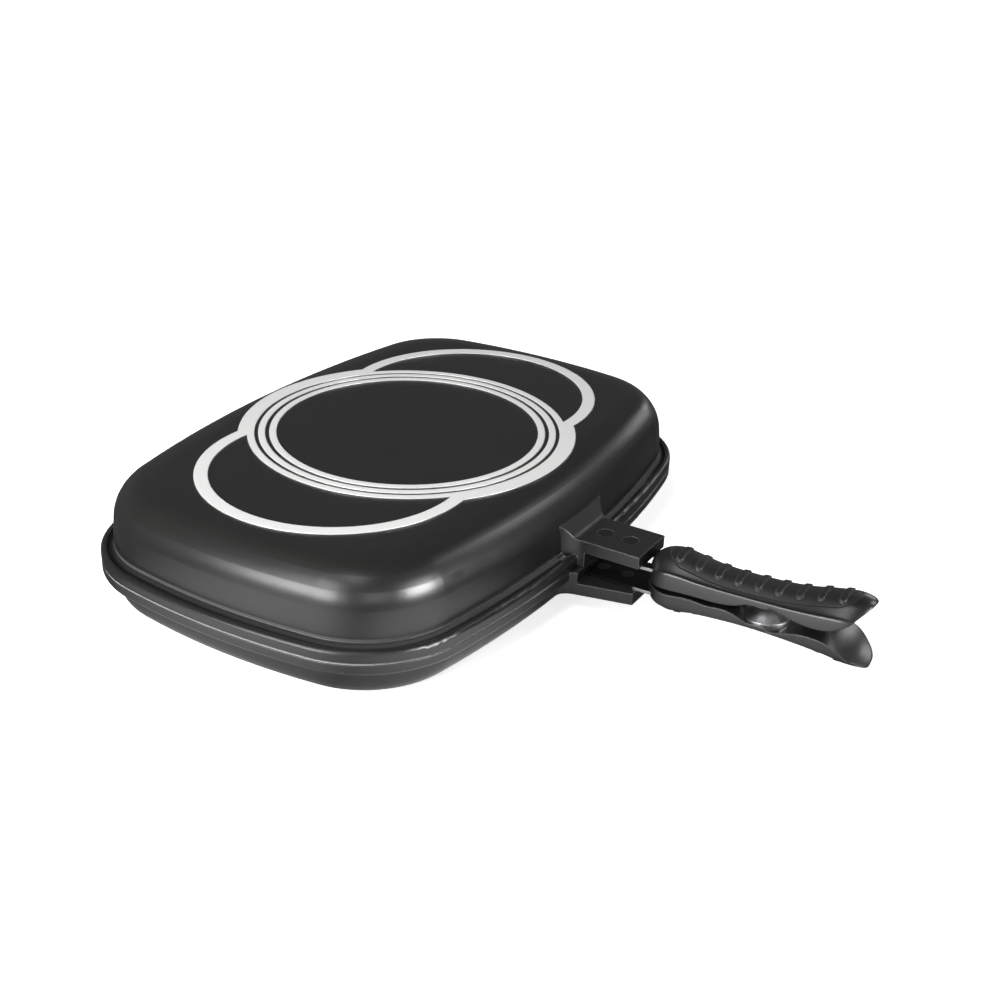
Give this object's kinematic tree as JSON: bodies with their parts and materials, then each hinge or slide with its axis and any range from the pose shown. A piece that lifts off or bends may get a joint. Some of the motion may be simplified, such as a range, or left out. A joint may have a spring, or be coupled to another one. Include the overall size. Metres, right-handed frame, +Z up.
{
  "type": "double sided flip pan",
  "caption": "Deep and shallow rectangular cast pans hinged along one long side, with a grip on each that meet when closed.",
  "frame": {"origin": "on the lower pan's raised base rings, under the middle of the ring pattern, on the surface that the closed pan stands on", "axes": "+X from the hinges towards the grips, +Y along the long side, +Z up from the shallow pan to the deep pan"},
  "size_m": [0.4387, 0.36, 0.0712],
  "materials": {
    "coated_casting": "cast aluminium with a satin charcoal non-stick coating; ring lands on the bases bare",
    "seal": "matte silicone",
    "black_steel": "flat steel strap, black coated, bright cut edges",
    "rivet": "steel, black coated",
    "grip": "satin moulded, heat resistant",
    "pad": "soft matte inlay",
    "insert": "turned",
    "fastener": "zinc plated",
    "magnet": "nickel plated",
    "cap": "satin pressed steel"
  },
  "bodies": {
    "shallow_side": {"lower_pan": "coated_casting", "seal_gasket": "seal", "lower_tang": "black_steel", "lower_lug_rivets": "rivet", "lower_grip": "grip", "lower_grip_pad": "pad", "lower_grip_inserts": "insert", "lower_grip_screws": "fastener", "lower_magnet": "magnet", "lower_magnet_cap": "cap", "left_hinge_pin": "fastener", "right_hinge_pin": "fastener", "left_pin_clip": "fastener", "right_pin_clip": "fastener"},
    "deep_side": {"upper_pan": "coated_casting", "upper_tang": "black_steel", "upper_lug_rivets": "rivet", "upper_grip": "grip", "upper_grip_pad": "pad", "upper_grip_inserts": "insert", "upper_grip_screws": "fastener", "upper_magnet": "magnet", "upper_magnet_cap": "cap"}
  },
  "joints": [
    {"name": "pan_hinge", "type": "hinge", "parent": "shallow_side", "child": "deep_side", "pos_m": [-0.1352, 0, 0.0252], "axis": [0, -1, 0], "range_deg": [0, 100]}
  ]
}
